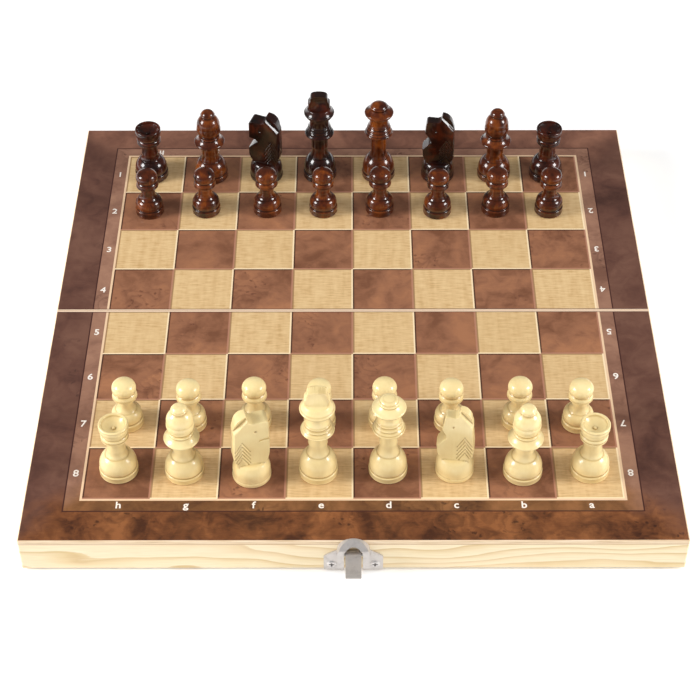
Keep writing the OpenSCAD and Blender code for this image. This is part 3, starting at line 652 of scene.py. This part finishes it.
def profile(path, d, h):
    """The outline as (radius, height) points in mm from the axis at the foot to the top, with
    its sharp corners rounded, and for each point how deep in a groove it lies."""
    shares = [(Vector((r * d / 2, z * h)), bulge) for r, z, bulge in path]
    raw = [Vector((0.0, 0.0)), shares[0][0]]
    for (a, _), (b, bulge) in zip(shares, shares[1:]):
        raw += arc(a, b, bulge)
    raw[-1].x = 0.0
    points, hollows = [raw[0]], []
    for before, here, after in zip(raw, raw[1:], raw[2:]):
        d1, d2 = here - before, after - here
        turn = math.atan2(d1.x * d2.y - d1.y * d2.x, d1.dot(d2))
        if abs(turn) < math.radians(SHARP_TURN):
            points.append(here)
            continue
        if turn < 0:
            hollows.append((here, min(1.0, -turn / math.radians(GROOVE_TURN))))
        room = CORNER_SHARE * min(d1.length, d2.length)
        cut = min(CORNER_R * math.tan(abs(turn) / 2), room)
        a, b = here - d1.normalized() * cut, here + d2.normalized() * cut
        for t in (0.0, 0.25, 0.5, 0.75, 1.0):
            points.append(a * (1 - t) ** 2 + here * 2 * t * (1 - t) + b * t * t)
    points.append(raw[-1])

    def depth(p):
        fades = [s * math.exp(-((p - q).length / GROOVE_REACH) ** 2) for q, s in hollows]
        return max(fades or [0.0])

    return points, [depth(p) for p in points]


def turned_mesh(name, kind):
    """A closed surface of revolution with quads, standing on the origin."""
    path, d, h = KINDS[kind]
    points, depth = profile(path, d, h)
    mesh = bpy.data.meshes.new(name)
    bm = bmesh.new()
    groove = bm.verts.layers.float.new("groove")
    rings = []
    for p, g in zip(points, depth):
        if p.x < 1e-6:
            vert = bm.verts.new((0, 0, p.y * MM))
            vert[groove] = g
            rings.append([vert])
            continue
        ring = []
        for i in range(ROUND_STEPS):
            a = 2 * math.pi * i / ROUND_STEPS
            vert = bm.verts.new((p.x * math.cos(a) * MM, p.x * math.sin(a) * MM, p.y * MM))
            vert[groove] = g
            ring.append(vert)
        rings.append(ring)
    for low, high in zip(rings, rings[1:]):
        for i in range(ROUND_STEPS):
            j = (i + 1) % ROUND_STEPS
            if len(low) == 1:
                bm.faces.new((low[0], high[j], high[i]))
            elif len(high) == 1:
                bm.faces.new((low[i], low[j], high[0]))
            else:
                bm.faces.new((low[i], low[j], high[j], high[i]))
    for face in bm.faces:
        face.smooth = True
    bm.to_mesh(mesh)
    bm.free()
    return mesh


def evaluated(obj):
    """A new mesh of the object with its modifiers applied."""
    depsgraph = bpy.context.evaluated_depsgraph_get()
    return bpy.data.meshes.new_from_object(obj.evaluated_get(depsgraph))


def remeshed(source, voxel, smooth, keep):
    """A copy of a mesh with its edges softened: voxels, smoothing, then fewer faces. In mm."""
    work = bpy.data.objects.new("work", source)
    scene.collection.objects.link(work)
    grid = work.modifiers.new("grid", "REMESH")
    grid.mode = "VOXEL"
    grid.voxel_size = voxel
    grid.use_smooth_shade = True
    calm = work.modifiers.new("calm", "SMOOTH")
    calm.factor = 0.5
    calm.iterations = smooth
    fewer = work.modifiers.new("fewer", "DECIMATE")
    fewer.ratio = keep
    result = evaluated(work)
    bpy.data.objects.remove(work)
    return result


def mark_grooves(mesh, rounds, gain=9.0):
    """Stores how hollow the surface is round each point, from 0 to 1, as groove."""
    bm = bmesh.new()
    bm.from_mesh(mesh)
    bm.verts.ensure_lookup_table()
    hollow = [0.0] * len(mesh.vertices)
    for v in bm.verts:
        near = [e.other_vert(v).co for e in v.link_edges]
        mean = sum(near, Vector()) / len(near)
        hollow[v.index] = (mean - v.co).dot(v.normal) / max((mean - near[0]).length, 1e-9)
    for _ in range(rounds):
        spread = []
        for v in bm.verts:
            around = [hollow[e.other_vert(v).index] for e in v.link_edges]
            spread.append((hollow[v.index] + sum(around)) / (1 + len(around)))
        hollow = spread
    bm.free()
    layer = mesh.attributes.new("groove", "FLOAT", "POINT")
    layer.data.foreach_set("value", [min(1.0, max(0.0, h * gain)) for h in hollow])


def square(i, row, at):
    """The spot where a man stands, in metres."""
    x, y = (i - MIDDLE) * FILE_W + at[0], (row - MIDDLE) * RANK_D + at[1]
    return Vector((x, y, CASE_H)) * MM


# How each carved knight differs from the pattern. Its turn comes first. Then, as shares: how far
# its mouth is closed, how far its throat is filled, and how much narrower its crest, nose and head
# are. Last, in mm, how far the underside of its nose rises towards the tip.
KNIGHT_LOOK = {
    "light_knight_f": (194, 0.9, 0.0, 0.08, 0.0, 0.0, 0.0),
    "light_knight_c": (-6, 0.0, 0.4, 0.14, 0.34, 0.35, 4.0),
    "dark_knight_f": (-18, 0.0, 0.1, 0.0, 0.06, 0.0, 0.0),
    "dark_knight_c": (-4, 0.0, 0.3, 0.06, 0.18, 0.35, 4.5),
}


# The wedge between the pattern's nose and chest in its side view, in mm: where it begins and its
# middle height there, then for its upper and lower faces a point and the slope.
WEDGE_X, WEDGE_Z = -3.3, 28.0
ROOF_X, ROOF_Z, ROOF_SLOPE = -4.3, 29.0, -0.2
BED_X, BED_Z, BED_SLOPE = -3.5, 27.0, 0.825
NOSE_LENGTH = 6.5
SLIT = 0.5
THROAT_FILL, THROAT_REACH = 5.5, 4.0
# Heights in mm between which each change grows from nothing to its full share.
CHEST_FROM = 13.0
CREST_Z, NOSE_Z, HEAD_Z = (18.0, 36.0), (25.0, 33.0), (30.0, 45.0)
NOSE_TOP = 42.0


def smooth_share(value, lo, hi):
    """A soft step from 0 at lo to 1 at hi."""
    t = min(1.0, max(0.0, (value - lo) / (hi - lo)))
    return t * t * (3 - 2 * t)


def recarve(mesh, closed, filled, crest, nose, head, rise):
    """Moves the points of the knight in its side view. In mm, nose towards -X."""
    for v in mesh.vertices:
        x, z = v.co.x, v.co.z
        roof = ROOF_Z + ROOF_SLOPE * (x - ROOF_X)
        bed = BED_Z + BED_SLOPE * (x - BED_X)
        if x < WEDGE_X and z < (roof + bed) / 2:
            v.co.z += closed * max(0.0, roof - bed - SLIT) * smooth_share(z, CHEST_FROM, bed)
        elif x < WEDGE_X:
            v.co.z += rise * (WEDGE_X - x) / NOSE_LENGTH * (1 - smooth_share(z, roof, NOSE_TOP))
        off = math.hypot(x - WEDGE_X, z - WEDGE_Z)
        v.co.x -= filled * THROAT_FILL * math.exp(-(off / THROAT_REACH) ** 2)
        if x > 0:
            v.co.x *= 1 - crest * smooth_share(z, *CREST_Z)
        else:
            v.co.x *= 1 - nose * smooth_share(z, *NOSE_Z)
        v.co.y *= 1 - head * smooth_share(z, *HEAD_Z)


def knight_mesh(name):
    """The carved knight with softened edges, facing along -X with its foot on the origin. In mm."""
    i = FILES.index(PATTERN[-1])
    place = square(i, 0, LIGHT_BACK_AT[i])
    mesh = nodes[PATTERN].data.copy()
    mesh.transform(Matrix.Translation(-place))
    mesh.transform(Matrix.Rotation(-math.radians(PATTERN_TURN), 4, "Z"))
    mesh.transform(Matrix.Scale(1 / MM, 4))
    soft = remeshed(mesh, voxel=0.22, smooth=5, keep=0.22)
    mark_grooves(soft, rounds=2)
    soft.name = name
    for poly in soft.polygons:
        poly.use_smooth = True
    soft.materials.clear()
    return soft


def finial_mesh():
    """The king's flat-sided finial, cut from a turned blank and rounded, on z = 0. In mm."""
    r = KINDS["king"][1] / 2
    half = [(x * r, z * FINIAL_H) for x, z in FINIAL_HALF]
    outline = half + [(-x, z) for x, z in reversed(half)]
    bm = bmesh.new()
    fronts = [bm.verts.new((x, -FINIAL_T / 2, z)) for x, z in outline]
    backs = [bm.verts.new((x, FINIAL_T / 2, z)) for x, z in outline]
    bm.faces.new(fronts)
    bm.faces.new(list(reversed(backs)))
    n = len(outline)
    for i in range(n):
        j = (i + 1) % n
        bm.faces.new((fronts[j], fronts[i], backs[i], backs[j]))
    bmesh.ops.triangulate(bm, faces=bm.faces[:])
    bmesh.ops.recalc_face_normals(bm, faces=bm.faces[:])
    mesh = bpy.data.meshes.new("finial_block")
    bm.to_mesh(mesh)
    bm.free()
    soft = remeshed(mesh, voxel=0.25, smooth=12, keep=0.3)
    blank = FINIAL_BLANK * r
    for v in soft.vertices:
        reach = math.hypot(v.co.x, v.co.y)
        if reach > blank:
            v.co.x *= blank / reach
            v.co.y *= blank / reach
    return soft


def king_mesh(name):
    """The turned king and its finial as one closed surface."""
    body = turned_mesh("king_body", "king")
    body.transform(Matrix.Scale(1 / MM, 4))
    top = finial_mesh()
    top.transform(Matrix.Translation((0, 0, KINDS["king"][2] - FINIAL_H)))
    layer = top.attributes.new("groove", "FLOAT", "POINT")
    layer.data.foreach_set("value", [0.0] * len(top.vertices))
    lower, upper = bpy.data.objects.new("lower", body), bpy.data.objects.new("upper", top)
    for obj in (lower, upper):
        scene.collection.objects.link(obj)
    join = lower.modifiers.new("join", "BOOLEAN")
    join.operation = "UNION"
    join.solver = "EXACT"
    join.object = upper
    mesh = evaluated(lower)
    for obj in (lower, upper):
        bpy.data.objects.remove(obj)
    mesh.transform(Matrix.Scale(MM, 4))
    mesh.name = name
    for poly in mesh.polygons:
        poly.use_smooth = True
    mesh.materials.clear()
    return mesh


TURNED = ("pawn", "rook", "bishop", "queen")
MESHES = {kind: turned_mesh(kind + "_turned", kind) for kind in TURNED}
MESHES["king"] = king_mesh("king_turned")
MESHES["knight"] = knight_mesh("knight_carved")
# How amber each dark man is, from near black to light, and which kinds have the darker lacquer.
DARK_TONE = {"king": 0.2, "knight": 0.35, "rook": 0.9, "bishop": 0.55, "queen": 0.5, "pawn": 0.45}
DARKER = ("king", "knight", "rook")
rng = random.Random(41)


def set_man(node, kind, i, row, at):
    """Puts a man's look on its square in place of its node."""
    light = node.startswith("light")
    key = node if kind == "knight" else (kind, light)
    if key not in MESHES:
        MESHES[key] = MESHES[kind].copy()
        MESHES[key].name = f"{kind}_{'light' if light else 'dark'}"
        if kind == "knight":
            recarve(MESHES[key], *KNIGHT_LOOK[node][1:])
            MESHES[key].transform(Matrix.Scale(MM, 4))
        dark = BLACK_BROWN if kind in DARKER else AMBER_BROWN
        MESHES[key].materials.append(CREAM if light else dark)
    man = bpy.data.objects.new("look_" + node, MESHES[key])
    scene.collection.objects.link(man)
    man.location = square(i, row, at)
    if kind == "knight":
        turn = KNIGHT_LOOK[node][0]
    elif kind == "king":
        turn = 0.0
    else:
        turn = rng.uniform(0, 360)
    man.rotation_euler = (0, 0, math.radians(turn))
    man["tone"] = rng.uniform(0.3, 0.7) if light else DARK_TONE[kind] + rng.uniform(-0.15, 0.15)
    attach(man, node)
    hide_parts(node)


for i, man in enumerate(BACK_RANK):
    kind = man.split("_")[0]
    set_man("light_" + man, kind, i, 0, LIGHT_BACK_AT[i])
    set_man("dark_" + man, kind, i, RANKS - 1, DARK_BACK_AT[i])
    set_man("light_pawn_" + FILES[i], "pawn", i, 1, LIGHT_PAWN_AT[i])
    set_man("dark_pawn_" + FILES[i], "pawn", i, RANKS - 2, DARK_PAWN_AT[i])


# ---------- The board's printed coordinates ----------

# The type's size, how much bolder it is, and its thickness, in mm.
MARK_SIZE = 6.3
MARK_BOLD = 0.12
MARK_T = 0.02
# The middle of a small letter is this share of the type size above its line.
LETTER_MIDDLE = 0.26
# The letters stand a little closer than the files, and to one side of their middle.
LETTER_PITCH, LETTER_SHIFT = 34.76, 0.85
BAND_X = (GRID[0] + GRID_LINE + FRAME_LINE[0]) / 2
BAND_Y = (GRID[1] + GRID_LINE + FRAME_LINE[1]) / 2


def glyph(bm, text, x, y, turned):
    """Adds one printed figure or letter, its middle at x, y on the board."""
    curve = bpy.data.curves.new("glyph", "FONT")
    curve.body = text
    curve.size = MARK_SIZE
    curve.align_x = "CENTER"
    curve.offset = MARK_BOLD
    curve.extrude = MARK_T
    curve.resolution_u = 4
    obj = bpy.data.objects.new("glyph", curve)
    scene.collection.objects.link(obj)
    mesh = evaluated(obj)
    bpy.data.objects.remove(obj)
    heights = [v.co.y for v in mesh.vertices]
    middle = (min(heights) + max(heights)) / 2 if text.isdigit() else LETTER_MIDDLE * MARK_SIZE
    mesh.transform(Matrix.Translation((0, -middle, 0)))
    if turned:
        mesh.transform(Matrix.Rotation(math.pi, 4, "Z"))
    mesh.transform(Matrix.Translation((x, y, CASE_H + MARK_T)))
    mesh.transform(Matrix.Scale(MM, 4))
    bm.from_mesh(mesh)
    bpy.data.meshes.remove(mesh)


for half, rows in (("front", range(RANKS // 2)), ("rear", range(RANKS // 2, RANKS))):
    bm = bmesh.new()
    for row in rows:
        y = (row - MIDDLE) * RANK_D
        glyph(bm, str(RANKS - row), -BAND_X, y, False)
        glyph(bm, str(RANKS - row), BAND_X, y, True)
    for i, letter in enumerate(FILES):
        x = (i - MIDDLE) * LETTER_PITCH + LETTER_SHIFT
        glyph(bm, letter, x, -BAND_Y if half == "front" else BAND_Y, half == "rear")
    mesh = bpy.data.meshes.new(half + "_marks")
    bm.to_mesh(mesh)
    bm.free()
    mesh.materials.append(INK)
    marks = bpy.data.objects.new(half + "_marks", mesh)
    scene.collection.objects.link(marks)
    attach(marks, half + "_half")


# ---------- Floor, light and camera ----------

FLOOR_REACH = 6.0
CORNERS = ((-1, -1), (1, -1), (1, 1), (-1, 1))
mesh = bpy.data.meshes.new("floor")
mesh.from_pydata([(x * FLOOR_REACH, y * FLOOR_REACH, cad_lo.z) for x, y in CORNERS],
                 [], [(0, 1, 2, 3)])
floor = bpy.data.objects.new("floor", mesh)
scene.collection.objects.link(floor)
net = Net("floor_white")
net.shader(Base_Color=(0.95, 0.95, 0.95), Roughness=0.9, Specular_IOR_Level=0.1)
net.shader(Emission_Color=(1.0, 1.0, 1.0), Emission_Strength=0.16)
mesh.materials.append(net.mat)


def softbox(name, place, size, power, aim=(0, 0, 0)):
    """A rectangular lamp in watts that faces its aim."""
    light = bpy.data.lights.new(name, "AREA")
    light.shape = "RECTANGLE"
    light.size, light.size_y = size
    light.energy = power
    obj = bpy.data.objects.new(name, light)
    obj.location = place
    obj.rotation_euler = (Vector(aim) - Vector(place)).to_track_quat("-Z", "Y").to_euler()
    scene.collection.objects.link(obj)
    return obj


softbox("left_box", (-1.38, -0.29, 0.74), (0.56, 0.56), 19)
softbox("right_box", (1.38, -0.29, 0.74), (0.5, 0.5), 14.5)
# The fills light the scene without mirroring in the gloss of the dark men.
LOW_AIM = (0, 0, 0.03)
for fill in (
    softbox("top_box", (0, 0.0, 2.4), (2.2, 2.0), 17.5),
    softbox("front_box", (0, -2.3, 1.0), (2.4, 1.4), 12.5),
    softbox("left_fill", (-1.5, -0.2, 0.22), (0.9, 0.4), 8, LOW_AIM),
    softbox("right_fill", (1.5, -0.2, 0.22), (0.9, 0.4), 7, LOW_AIM),
):
    fill.visible_glossy = False

world = bpy.data.worlds.new("studio")
world.use_nodes = True
sky = world.node_tree.nodes["Background"]
sky.inputs["Color"].default_value = (1, 1, 1, 1)
sky.inputs["Strength"].default_value = 0.13
scene.world = world
scene.view_settings.view_transform = "Standard"

# The camera's place in metres, and its turns in degrees, the last one first.
CAMERA_AT = (-0.00102, -0.7327, 0.70822)
CAMERA_SWING, CAMERA_TILT, CAMERA_ROLL = 0.055, 45.58, -0.10
camera = bpy.data.cameras.new("camera")
camera.lens = 90.0
camera.sensor_width = 36.0
camera.clip_start, camera.clip_end = 0.05, 50.0
view = bpy.data.objects.new("camera", camera)
scene.collection.objects.link(view)
view.matrix_world = (
    Matrix.Translation(CAMERA_AT)
    @ Matrix.Rotation(math.radians(CAMERA_SWING), 4, "Z")
    @ Matrix.Rotation(math.radians(CAMERA_TILT), 4, "X")
    @ Matrix.Rotation(math.radians(CAMERA_ROLL), 4, "Z")
)
scene.camera = view
